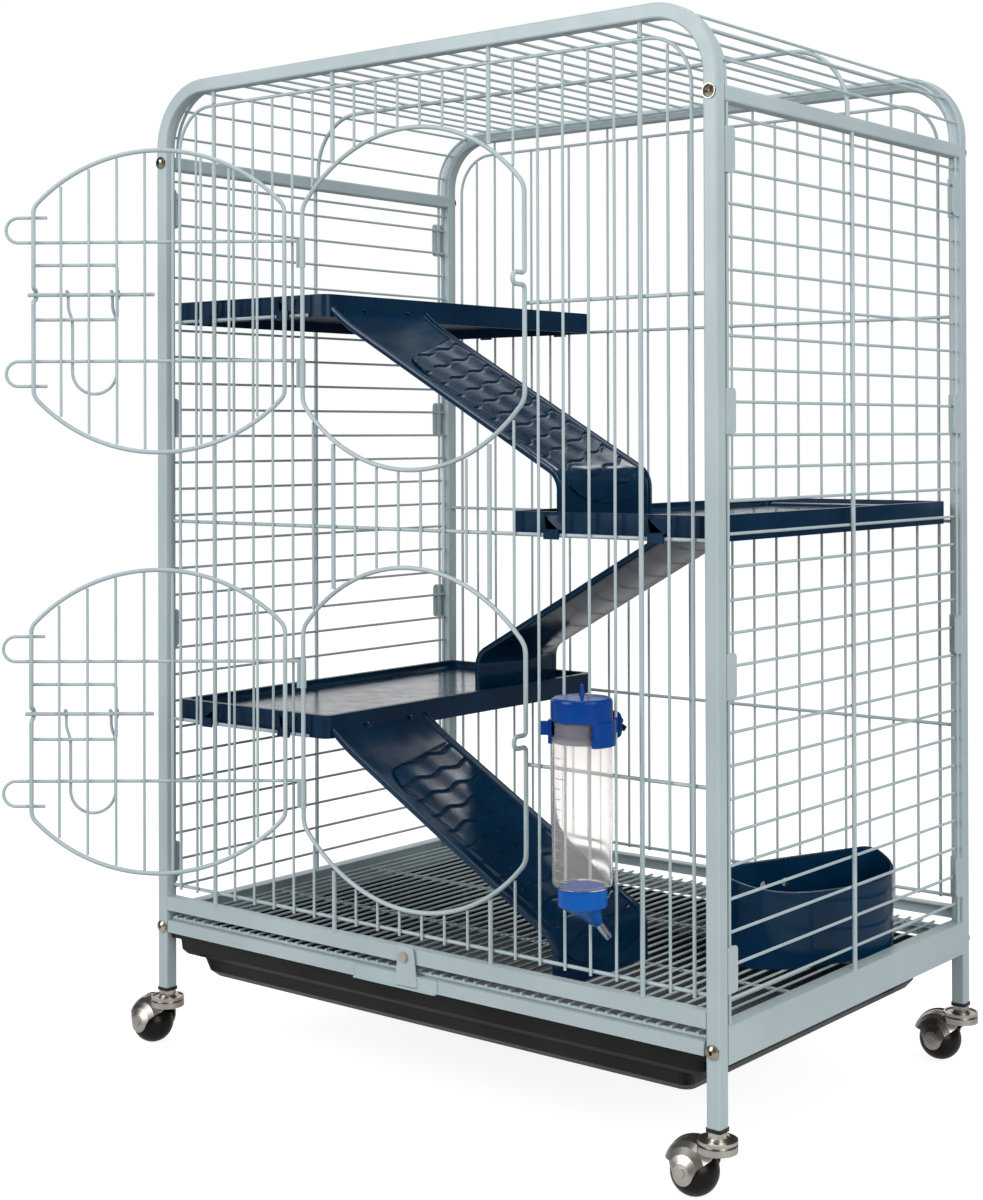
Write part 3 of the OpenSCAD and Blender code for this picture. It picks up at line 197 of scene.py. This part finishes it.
def slab(top, bottom):
    """Points and faces of a closed slab between two point grids of one shape."""
    rows, cols = top.shape[:2]
    count = rows * cols
    upper = quad_grid(rows, cols)
    rim = np.concatenate([
        np.arange(cols), np.arange(1, rows) * cols + cols - 1,
        (rows - 1) * cols + np.arange(cols - 2, -1, -1), np.arange(rows - 2, 0, -1) * cols])
    after = np.roll(rim, -1)
    sides = np.stack([rim, after, after + count, rim + count], -1)
    points = np.concatenate([top.reshape(-1, 3), bottom.reshape(-1, 3)])
    return points, np.concatenate([upper, upper[:, ::-1] + count, sides])


def softened(node, name, width, finish):
    """A merged copy of a CAD node with its sharp edges rounded by width, in place of the node.
    Known fault: the shelves' copies have folded faces on the walls behind their hooks."""
    source = frame["nodes"][node]
    mesh = source.data.copy()
    mesh.name = name
    tidy = bmesh.new()
    tidy.from_mesh(mesh)
    bmesh.ops.remove_doubles(tidy, verts=tidy.verts, dist=2e-6)
    bmesh.ops.dissolve_limit(tidy, angle_limit=math.radians(0.5), verts=tidy.verts, edges=tidy.edges)
    tidy.to_mesh(mesh)
    tidy.free()
    mesh.materials.clear()
    mesh.materials.append(finish)
    piece = bpy.data.objects.new(name, mesh)
    bpy.context.scene.collection.objects.link(piece)
    mesh.shade_smooth()
    mesh.set_sharp_from_angle(angle=SHARP_EDGE)
    ease = piece.modifiers.new("rounded edges", "BEVEL")
    ease.limit_method = "ANGLE"
    ease.angle_limit = SHARP_EDGE
    ease.width = width
    ease.segments = 2
    ease.use_clamp_overlap = True
    ease.harden_normals = False
    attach(piece, body_names[node])
    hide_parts(node)
    return piece


# ------------------------------------------------------------------ shader groups


def new_group(name, inputs, outputs):
    """An empty shader group with float, vector or colour sockets."""
    group = bpy.data.node_groups.new(name, "ShaderNodeTree")
    for label, kind, value in inputs:
        socket = group.interface.new_socket(name=label, in_out="INPUT", socket_type=kind)
        if value is not None:
            socket.default_value = value
    for label, kind in outputs:
        group.interface.new_socket(name=label, in_out="OUTPUT", socket_type=kind)
    return group, group.nodes.new("NodeGroupInput"), group.nodes.new("NodeGroupOutput")


def noise(tree, place, scale, detail=2.0, rough=0.5):
    """A noise texture read at place."""
    node = tree.nodes.new("ShaderNodeTexNoise")
    node.inputs["Scale"].default_value = scale
    node.inputs["Detail"].default_value = detail
    node.inputs["Roughness"].default_value = rough
    tree.links.new(place, node.inputs["Vector"])
    return node.outputs["Fac"]


def mixed(tree, factor, first, second):
    """Colour mix of two sockets or fixed colours."""
    node = tree.nodes.new("ShaderNodeMix")
    node.data_type = "RGBA"
    tree.links.new(factor, node.inputs["Factor"])
    for key, value in (("A", first), ("B", second)):
        socket = [s for s in node.inputs if s.name == key and s.type == "RGBA"][0]
        if hasattr(value, "is_linked"):
            tree.links.new(value, socket)
        else:
            socket.default_value = value
    return [s for s in node.outputs if s.type == "RGBA"][0]


def make_coating_group():
    """Powder coat: broad tone drift, fine orange peel and scattered dust nibs."""
    group, gin, gout = new_group(
        "coating",
        [("Position", "NodeSocketVector", None), ("Light", "NodeSocketColor", (0.6, 0.66, 0.67, 1)),
         ("Dark", "NodeSocketColor", (0.5, 0.56, 0.57, 1))],
        [("Colour", "NodeSocketColor"), ("Roughness", "NodeSocketFloat"), ("Height", "NodeSocketFloat")])
    place = gin.outputs["Position"]
    drift = ranged(group, noise(group, place, 9, 3), 0.35, 0.7, 0, 1)
    group.links.new(mixed(group, drift, gin.outputs["Dark"], gin.outputs["Light"]), gout.inputs["Colour"])
    peel = noise(group, place, 900, 1)
    group.links.new(ranged(group, noise(group, place, 60, 2), 0.3, 0.7, 0.30, 0.42), gout.inputs["Roughness"])
    group.links.new(peel, gout.inputs["Height"])
    return group


def make_moulding_group():
    """Moulded plastic: fine spark-eroded grain, faint flow marks and rubbed patches."""
    group, gin, gout = new_group(
        "moulding",
        [("Position", "NodeSocketVector", None), ("Light", "NodeSocketColor", (0.05, 0.1, 0.18, 1)),
         ("Dark", "NodeSocketColor", (0.03, 0.06, 0.12, 1)), ("Shine", "NodeSocketFloat", 0.35)],
        [("Colour", "NodeSocketColor"), ("Roughness", "NodeSocketFloat"), ("Height", "NodeSocketFloat")])
    place = gin.outputs["Position"]
    drift = ranged(group, noise(group, place, 14, 3), 0.35, 0.65, 0, 1)
    group.links.new(mixed(group, drift, gin.outputs["Dark"], gin.outputs["Light"]), gout.inputs["Colour"])
    rub = ranged(group, noise(group, place, 45, 3), 0.3, 0.7, -0.05, 0.07)
    group.links.new(maths(group, "ADD", gin.outputs["Shine"], rub), gout.inputs["Roughness"])
    group.links.new(noise(group, place, 1400, 1), gout.inputs["Height"])
    return group


def surface(name, group, values, bump, depth, settings):
    """A Principled material fed by one shared group; settings go straight on its sockets."""
    mat = bpy.data.materials.new(name)
    mat.use_nodes = True
    tree = mat.node_tree
    shade = tree.nodes["Principled BSDF"]
    where = tree.nodes.new("ShaderNodeTexCoord").outputs["Object"]
    effect = tree.nodes.new("ShaderNodeGroup")
    effect.node_tree = group
    tree.links.new(where, effect.inputs["Position"])
    for key, value in values.items():
        effect.inputs[key].default_value = value
    tree.links.new(effect.outputs["Colour"], shade.inputs["Base Color"])
    tree.links.new(effect.outputs["Roughness"], shade.inputs["Roughness"])
    lift = tree.nodes.new("ShaderNodeBump")
    lift.inputs["Strength"].default_value = bump
    lift.inputs["Distance"].default_value = depth
    tree.links.new(effect.outputs["Height"], lift.inputs["Height"])
    tree.links.new(lift.outputs["Normal"], shade.inputs["Normal"])
    for key, value in settings.items():
        shade.inputs[key].default_value = value
    return mat


def make_grain_group():
    """Linen-like grain of the shelf floors: two crossed sets of fine ribs that fade in and out."""
    group, gin, gout = new_group(
        "linen_grain",
        [("Position", "NodeSocketVector", None), ("Light", "NodeSocketColor", (0.01, 0.03, 0.06, 1)),
         ("Dark", "NodeSocketColor", (0.005, 0.015, 0.03, 1)), ("Shine", "NodeSocketFloat", 0.3)],
        [("Colour", "NodeSocketColor"), ("Roughness", "NodeSocketFloat"), ("Height", "NodeSocketFloat")])
    place = gin.outputs["Position"]
    ribs = []
    for way in ("X", "Y"):
        wave = group.nodes.new("ShaderNodeTexWave")
        wave.bands_direction = way
        wave.inputs["Scale"].default_value = 130
        wave.inputs["Distortion"].default_value = 2.2
        wave.inputs["Detail"].default_value = 1.0
        wave.inputs["Detail Scale"].default_value = 3.0
        group.links.new(place, wave.inputs["Vector"])
        ribs.append(wave.outputs["Fac"])
    group.links.new(maths(group, "MAXIMUM", *ribs), gout.inputs["Height"])
    drift = ranged(group, noise(group, place, 22, 3), 0.35, 0.65, 0, 1)
    group.links.new(mixed(group, drift, gin.outputs["Dark"], gin.outputs["Light"]), gout.inputs["Colour"])
    rub = ranged(group, noise(group, place, 60, 4), 0.3, 0.7, -0.06, 0.08)
    group.links.new(maths(group, "ADD", gin.outputs["Shine"], rub), gout.inputs["Roughness"])
    return group


def make_materials():
    """One finish per slot of the record, and the extra finishes of single pieces."""
    coat = make_coating_group()
    mould = make_moulding_group()
    linen = make_grain_group()
    grey = {"Light": (0.47, 0.565, 0.59, 1), "Dark": (0.41, 0.50, 0.525, 1)}
    navy = {"Light": (0.0020, 0.028, 0.070, 1), "Dark": (0.0010, 0.018, 0.050, 1)}
    black = {"Light": (0.014, 0.014, 0.014, 1), "Dark": (0.007, 0.007, 0.007, 1)}
    plain = {"Specular IOR Level": 0.45}
    matt = {"Specular IOR Level": 0.22}
    mats = {}
    mats["painted_tube"] = surface("painted_tube", coat, grey, 0.10, 0.0002, plain)
    mats["painted_sheet"] = surface("painted_sheet", coat, grey, 0.10, 0.0002, plain)
    mats["painted_wire"] = surface("painted_wire", coat, grey, 0.06, 0.0002, plain)
    mats["navy_shelf"] = surface("navy_shelf", mould, {**navy, "Shine": 0.30}, 0.15, 0.0002, matt)
    mats["navy_ramp"] = surface(
        "navy_ramp", mould, {**navy, "Shine": 0.13}, 0.05, 0.0002, {"Specular IOR Level": 0.34})
    mats["navy_bowl"] = surface("navy_bowl", mould, {**navy, "Shine": 0.14}, 0.05, 0.0002, matt)
    mats["navy_floor"] = surface(
        "navy_floor", linen, {**navy, "Shine": 0.13}, 0.10, 0.0003, {"Specular IOR Level": 1.0})
    mats["black_plastic"] = surface("black_plastic", mould, {**black, "Shine": 0.4}, 0.2, 0.0002, plain)
    mats["black_tray"] = surface("black_tray", mould, {**black, "Shine": 0.24}, 0.10, 0.0002, matt)
    rubber = {"Light": (0.012, 0.010, 0.009, 1), "Dark": (0.006, 0.005, 0.005, 1)}
    mats["black_wheel"] = surface("black_wheel", mould, {**rubber, "Shine": 0.30}, 0.1, 0.0002, matt)
    mats["black_crest"] = surface("black_crest", mould, {**black, "Shine": 0.42}, 0.1, 0.0002, matt)
    blue = {"Light": (0.001, 0.058, 0.30, 1), "Dark": (0.001, 0.040, 0.23, 1)}
    mats["blue_plastic"] = surface("blue_plastic", mould, {**blue, "Shine": 0.20}, 0.05, 0.0002, matt)
    pale = {"Light": (0.001, 0.12, 0.50, 1), "Dark": (0.001, 0.09, 0.42, 1)}
    mats["blue_base"] = surface("blue_base", mould, {**pale, "Shine": 0.20}, 0.05, 0.0002, matt)
    metal = {"Metallic": 1.0}
    mats["bolt_steel"] = surface("bolt_steel", mould, {
        "Light": (0.62, 0.57, 0.45, 1), "Dark": (0.42, 0.38, 0.30, 1), "Shine": 0.24}, 0.2, 0.0001, metal)
    mats["spout_steel"] = surface("spout_steel", mould, {
        "Light": (0.70, 0.70, 0.70, 1), "Dark": (0.55, 0.55, 0.55, 1), "Shine": 0.22}, 0.1, 0.0001, metal)
    mats["caster_chrome"] = surface("caster_chrome", mould, {
        "Light": (0.70, 0.665, 0.62, 1), "Dark": (0.52, 0.48, 0.44, 1), "Shine": 0.33}, 0.10, 0.0001, metal)
    mats["clear_bottle"] = surface("clear_bottle", mould, {
        "Light": (0.95, 0.93, 0.92, 1), "Dark": (0.88, 0.86, 0.85, 1), "Shine": 0.06}, 0.05, 0.0001,
        {"Transmission Weight": 0.93, "IOR": 1.12})
    mats["scale_ink"] = surface("scale_ink", mould, {
        "Light": (0.42, 0.40, 0.39, 1), "Dark": (0.30, 0.29, 0.28, 1), "Shine": 0.4}, 0.05, 0.0001, plain)
    mats["neck_grey"] = surface("neck_grey", mould, {
        "Light": (0.10, 0.10, 0.14, 1), "Dark": (0.04, 0.04, 0.06, 1), "Shine": 0.2}, 0.1, 0.0002, matt)
    return mats


# ------------------------------------------------------------------ ramps and shelves

# hang height, slope, floor under the foot, way of +x, centre y, deck end, and of the tread:
# lean of its rows, start, and lean of its upper edge
RAMPS = {
    "top_ramp": (689.0, 0.56, 518.0, 1, -132.0, 259.0, 40.0, 42.0, 50.0),
    "middle_ramp": (497.0, 0.56, 327.0, -1, 132.0, 259.0, 27.0, 38.0, 36.0),
    "lower_ramp": (306.0, 0.585, 128.54, 1, -132.0, 253.0, 16.0, 36.0, 26.0),
}
INNER_END = -106.0  # x of the shelf walls that the ramps hang from
ROLL_R, DECK_LIFT, HALF_W = 20.0, 11.0, 66.0
TILE_PITCH = 21.6
SLOT_MIDDLE, SLOT_APART = -120.53, 30.0  # y between a shelf's two slots, and from there to each


def deck_frame(along, start, slope, deck_end):
    """Place and upward direction (x, z) on a deck at an arc length: down the slope, round a quarter
    bend of radius ROLL_R that touches it, then straight down the end wall. Over the first 34 mm a
    square-law flare lifts the deck by up to 4 mm towards the shelf."""
    steep = math.sqrt(1 + slope * slope)
    high = start + DECK_LIFT
    mid_x = deck_end - ROLL_R
    mid_z = high - slope * mid_x - ROLL_R * steep
    first = math.atan2(1, slope)
    flat = (mid_x + ROLL_R * math.cos(first)) * steep
    angle = np.clip(first - (along - flat) / ROLL_R, 0, first)
    bent = along > flat
    down = np.maximum(along - flat - ROLL_R * first, 0)
    x = np.where(bent, mid_x + ROLL_R * np.cos(angle), along / steep)
    z = np.where(bent, mid_z + ROLL_R * np.sin(angle), high - slope * along / steep) - down
    z = z + 4.0 * np.clip(1 - along / 34.0, 0, 1) ** 2
    return x, z, np.cos(angle), np.sin(angle), flat + ROLL_R * first + mid_z


def on_ramp(node, along, across, lift):
    """World points in metres at arc length, width and height over a ramp's deck."""
    start, slope, _, way, middle, deck_end = RAMPS[node][:6]
    x, z, nx, nz, _ = deck_frame(along, start, slope, deck_end)
    return np.stack([way * (INNER_END + x + nx * lift), middle + across, z + nz * lift], -1) * MM


def add_ramp(node):
    """A ramp in place of its node: one closed section carried down the deck's path. The section has a
    flat deck, low round-topped walls and an underside that bulges as a cosine of the width. Two tabs,
    rounded boxes whose section is a superellipse, fill the shelf's slots."""
    start, slope, floor, way, _, deck_end = RAMPS[node][:6]
    edge = np.array([[0, -2.0], [0, 2.0], [-0.35, 2.75], [-1.1, 3.1], [-1.9, 3.1], [-2.65, 2.75], [-3, 2.0],
                     [-3, 1.0], [-3.5, 0.3], [-4.6, 0.0], [-5.6, 0.0], [-9, 0.0], [-30, 0.0]]) + [HALF_W, 0]
    under = np.linspace(-HALF_W + 1.6, HALF_W - 1.6, 25)
    below = np.stack([under, -3.1 - 8.0 * np.cos(under / HALF_W * math.pi / 2)], -1)
    corner = np.array([[HALF_W - 0.4, -2.8]])
    mirror = np.array([-1, 1])
    section = np.concatenate([below, corner, edge, edge[::-1] * mirror, corner * mirror])
    length = float(deck_frame(np.array(0.0), start, slope, deck_end)[4]) - floor
    along = np.unique(np.concatenate([np.linspace(0, 34, 9), np.linspace(34, 250, 20),
                                      np.linspace(250, length - 20, 26), [length]]))
    uu, vv = np.meshgrid(along, section[:, 0], indexing="ij")
    points = on_ramp(node, uu, vv, np.broadcast_to(section[:, 1], uu.shape))
    count = len(section)
    caps = [list(range(count)), list(range((len(along) - 1) * count, len(along) * count))]
    faces = quad_grid(len(along), count, wrap=True).tolist() + caps
    piece = add_piece(node + "_body", points, faces, "cage", finishes["navy_ramp"])
    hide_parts(node)
    slot_z = start + 14.3  # the slots are 12 to 17 mm below the shelf's rim
    for mark, off in (("a", -SLOT_APART), ("b", SLOT_APART)):
        angle = np.linspace(0, 2 * math.pi, 25)[:-1]
        loop = np.stack([np.sign(np.sin(angle)) * np.abs(np.sin(angle)) ** 0.3 * 4.0,
                         np.sign(np.cos(angle)) * np.abs(np.cos(angle)) ** 0.3 * 2.3], -1)
        reach = np.array([-6.3, -6.0, 0.5, 3.0])
        size = np.array([0.85, 1.0, 1.0, 1.0])[:, None]
        across = way * SLOT_MIDDLE + off + size * loop[None, :, 0]
        tab = np.stack([np.broadcast_to(way * (INNER_END + reach[:, None]), (4, 24)), across,
                        slot_z + size * loop[None, :, 1]], -1) * MM
        ends = [list(range(24)), list(range(72, 96))]
        add_piece(f"{node}_tab_{mark}", tab, quad_grid(4, 24, wrap=True).tolist() + ends, "cage",
                  finishes["navy_ramp"])


def add_tread(node):
    """Raised tread of a ramp: a grid over (row distance t, width v). Every row line is shifted down
    the ramp by a lean and a sine over v, so the grooves between the rows are wavy. Each row rises as a
    straight line towards its lower end and falls into a cosine groove; the sides are quarter-rounds.
    The rows are clipped to a slanted, rounded edge above and to a half-ellipse tongue at the foot, and
    rows past an edge fall together on it. Known fault: the lower ramp's tread comes out inside out."""
    lean, begin, begin_lean = RAMPS[node][6:]
    rows = np.arange(-5, 19)
    local = np.array([0.0, 0.7, 1.4, 4.0, 8.0, 12.0, 16.0, 18.6, 20.2, 20.9])
    t = (rows[:, None] * TILE_PITCH + local[None]).ravel() + 9
    rise = np.tile(np.interp(local, [0, 1.4, 20.2, 20.9], [0.15, 0.75, 1.75, 0.9]), len(rows))
    low, high = -52.0, 59.0
    edge = np.array([0, 0.3, 0.8, 1.6, 2.6, 3.8])
    v = np.concatenate([low + edge, np.linspace(low + 6, high - 6, 35), high - edge[::-1]])
    side = np.clip(np.minimum(v - low, high - v) / 3.8, 0, 1)
    tt, vv = np.meshgrid(t, v, indexing="ij")
    wave = 2.2 * np.sin((vv - 25) / 40 * 2 * math.pi) - lean * vv / 114
    corner = 34 * (1 - np.sqrt(np.clip(1 - np.clip((low + 14 - vv) / 14, 0, 1) ** 2, 0, 1)))
    first = begin + begin_lean * (high - vv) / 114 + corner
    last = 296 + 22 * np.sqrt(np.clip(1 - ((vv - 4) / 58) ** 2, 0, 1))
    along = np.clip(tt + wave, first, last)
    lift = rise[:, None] * np.sqrt(1 - (1 - side) ** 2)[None]
    points, faces = slab(on_ramp(node, along, vv, lift), on_ramp(node, along, vv, np.full_like(lift, -0.4)))
    add_piece(node + "_tread", points, faces, "cage", finishes["navy_ramp"])


SHELVES = {  # side of the cage, height of the rim's top
    "top_shelf": (-1, 718.0),
    "middle_shelf": (1, 526.0),
    "lower_shelf": (-1, 335.0),
}
SHELF_OUTER, SHELF_INNER = 305.0, 106.0
FLOOR_INSET = 6.2  # from a shelf's outside to its floor, just past the rim's wall
FLOOR_HALF_DEPTH = 198.8
EDGE_ROUND = 0.0007  # rounding of the shelves' and bowl's edges, in metres


def add_shelf_floor(node):
    """Grained floor sheet of a shelf: a grid over (x, y) inside the rim, whose height sags by 0.5 mm
    to the middle as a product of two sines and rises by a quarter round of 3 mm at the rim."""
    way, rim_top = SHELVES[node]
    x0, x1 = sorted((way * (SHELF_OUTER - FLOOR_INSET), way * (SHELF_INNER + FLOOR_INSET)))
    y0, y1 = -FLOOR_HALF_DEPTH, FLOOR_HALF_DEPTH
    fillet = np.array([0, 0.25, 0.7, 1.4, 2.2, 3.0])
    x = np.concatenate([x0 + fillet, np.linspace(x0 + 8, x1 - 8, 24), x1 - fillet[::-1]])
    y = np.concatenate([y0 + fillet, np.linspace(y0 + 8, y1 - 8, 48), y1 - fillet[::-1]])
    xx, yy = np.meshgrid(x, y, indexing="ij")
    near = np.minimum(np.minimum(xx - x0, x1 - xx), np.minimum(yy - y0, y1 - yy))
    rise = 3.0 - np.sqrt(np.clip(9.0 - np.clip(3.0 - near, 0, 3) ** 2, 0, 9))
    sag = 0.5 * (1 - np.sin((xx - x0) / (x1 - x0) * math.pi) * np.sin((yy - y0) / (y1 - y0) * math.pi))
    z = rim_top - 8 + 0.25 + rise + sag
    upper = np.stack([xx, yy, z], -1) * MM
    lower = np.stack([xx, yy, np.full_like(z, rim_top - 8.4)], -1) * MM
    points, faces = slab(upper, lower)
    add_piece(node + "_floor", points, faces, "cage", finishes["navy_floor"])


BOTTLE = (209.0, -243.0)  # x and y of the bottle's axis
TICK_ANGLE = -2.02  # where every tick starts round the bottle, in radians from +x


def lathe(name, centre, profile, body, finish, turns=48):
    """A closed ring: a loop of (radius, height) points turned round an upright axis at centre."""
    angle = np.arange(turns) * 2 * math.pi / turns
    ring = np.stack([centre[0] + profile[:, :1] * np.cos(angle), centre[1] + profile[:, :1] * np.sin(angle),
                     np.broadcast_to(profile[:, 1:], (len(profile), turns))], -1)
    loop = np.concatenate([ring, ring[:1]]) * MM
    add_piece(name, loop, quad_grid(len(profile) + 1, turns, wrap=True), body, finish)


def add_bottle_marks():
    """Plain scale on the bottle: raised ticks, each a patch of a cylinder 0.15 mm proud of the wall,
    every fifth one longer. The neck's thread is a turned loop whose outside is a cosine of the height."""
    height = 240.0 + np.arange(13) * 8.0
    for number, z in enumerate(height):
        wide = 0.55 if number % 5 == 0 else 0.30
        angle = np.linspace(TICK_ANGLE, TICK_ANGLE + wide, 9)
        zz = np.array([z - 0.35, z + 0.35])
        aa, hh = np.meshgrid(angle, zz, indexing="ij")
        outer, inner = (np.stack([BOTTLE[0] + r * np.cos(aa), BOTTLE[1] + r * np.sin(aa), hh], -1) * MM
                        for r in (24.15, 23.9))
        points, faces = slab(outer, inner)
        add_piece(f"bottle_tick_{number:02d}", points, faces, "cage", finishes["scale_ink"])
    z = np.linspace(346.5, 363.0, 34)
    outside = np.stack([21.35 + 0.45 * np.cos((z - 346.5) / 4.1 * 2 * math.pi), z], -1)
    inside = np.stack([np.full_like(z, 20.3), z], -1)[::-1]
    thread = np.concatenate([outside, inside])
    lathe("bottle_thread", BOTTLE, thread, "cage", finishes["neck_grey"])


LEG_X, LEG_Y = 313.65, 211.15
TRAIL, BALL_Z = 20.8, 19.4  # from a leg's axis to its ball's centre, and that centre's height
AXLE_TILT = math.radians(9.5)
CREST_OUTER, CREST_INNER = 27.1, 26.0


def add_crest(corner, sx, sy):
    """Thin strip over a caster's hood: part of a sphere of radius CREST_OUTER round the ball's centre, a
    grid over the angle about the tilted axle and the distance along it, down to CREST_INNER."""
    turn = np.radians(np.linspace(84, 153, 25))
    reach = np.array([-7.5, -7.1, -6.0, -4.0, -2.0, 0.0, 1.2, 1.6])
    drop = np.array([0.9, 0.3, 0, 0, 0, 0, 0.3, 0.9])
    tt, rr = np.meshgrid(turn, reach, indexing="ij")
    axle = np.array([0, -math.cos(AXLE_TILT), math.sin(AXLE_TILT)])
    over = np.array([0, math.sin(AXLE_TILT), math.cos(AXLE_TILT)])
    middle = np.array([sx * LEG_X - TRAIL, sy * LEG_Y, BALL_Z])

    def at(radius):
        flat = np.sqrt(radius ** 2 - rr ** 2)
        return (middle + (flat * np.cos(tt))[..., None] * [1, 0, 0] + (flat * np.sin(tt))[..., None] * over
                + rr[..., None] * axle) * MM

    outside = at(CREST_OUTER - np.broadcast_to(drop, tt.shape))
    points, faces = slab(outside, at(np.full_like(tt, CREST_INNER)))
    add_piece("caster_crest_" + corner, points, faces, "caster_fork_" + corner,
              finishes["black_crest"])


def dress_nodes(mats):
    """Every CAD node gets its slot's finish."""
    for name, body in frame["nodes"].items():
        body.data.materials.clear()
        body.data.materials.append(mats[slots[name]])
    base = frame["nodes"]["bottle_base"].data.materials
    base.clear()
    base.append(mats["blue_base"])


slots = {s["node"]: s["material_slot"] for s in frame["record"]["subparts"]}
body_names = {n: b for b, nodes in frame["record"]["behaviour"]["bodies"].items() for n in nodes}
add_camera()
add_stage()
finishes = make_materials()
dress_nodes(finishes)
for ramp in RAMPS:
    add_ramp(ramp)
    add_tread(ramp)
for shelf in SHELVES:
    add_shelf_floor(shelf)

for node in list(SHELVES) + ["food_bowl"]:
    softened(node, node + "_body", EDGE_ROUND, finishes[slots[node]])
add_bottle_marks()
for corner, sx, sy in (("fl", -1, -1), ("fr", 1, -1), ("rl", -1, 1), ("rr", 1, 1)):
    add_crest(corner, sx, sy)
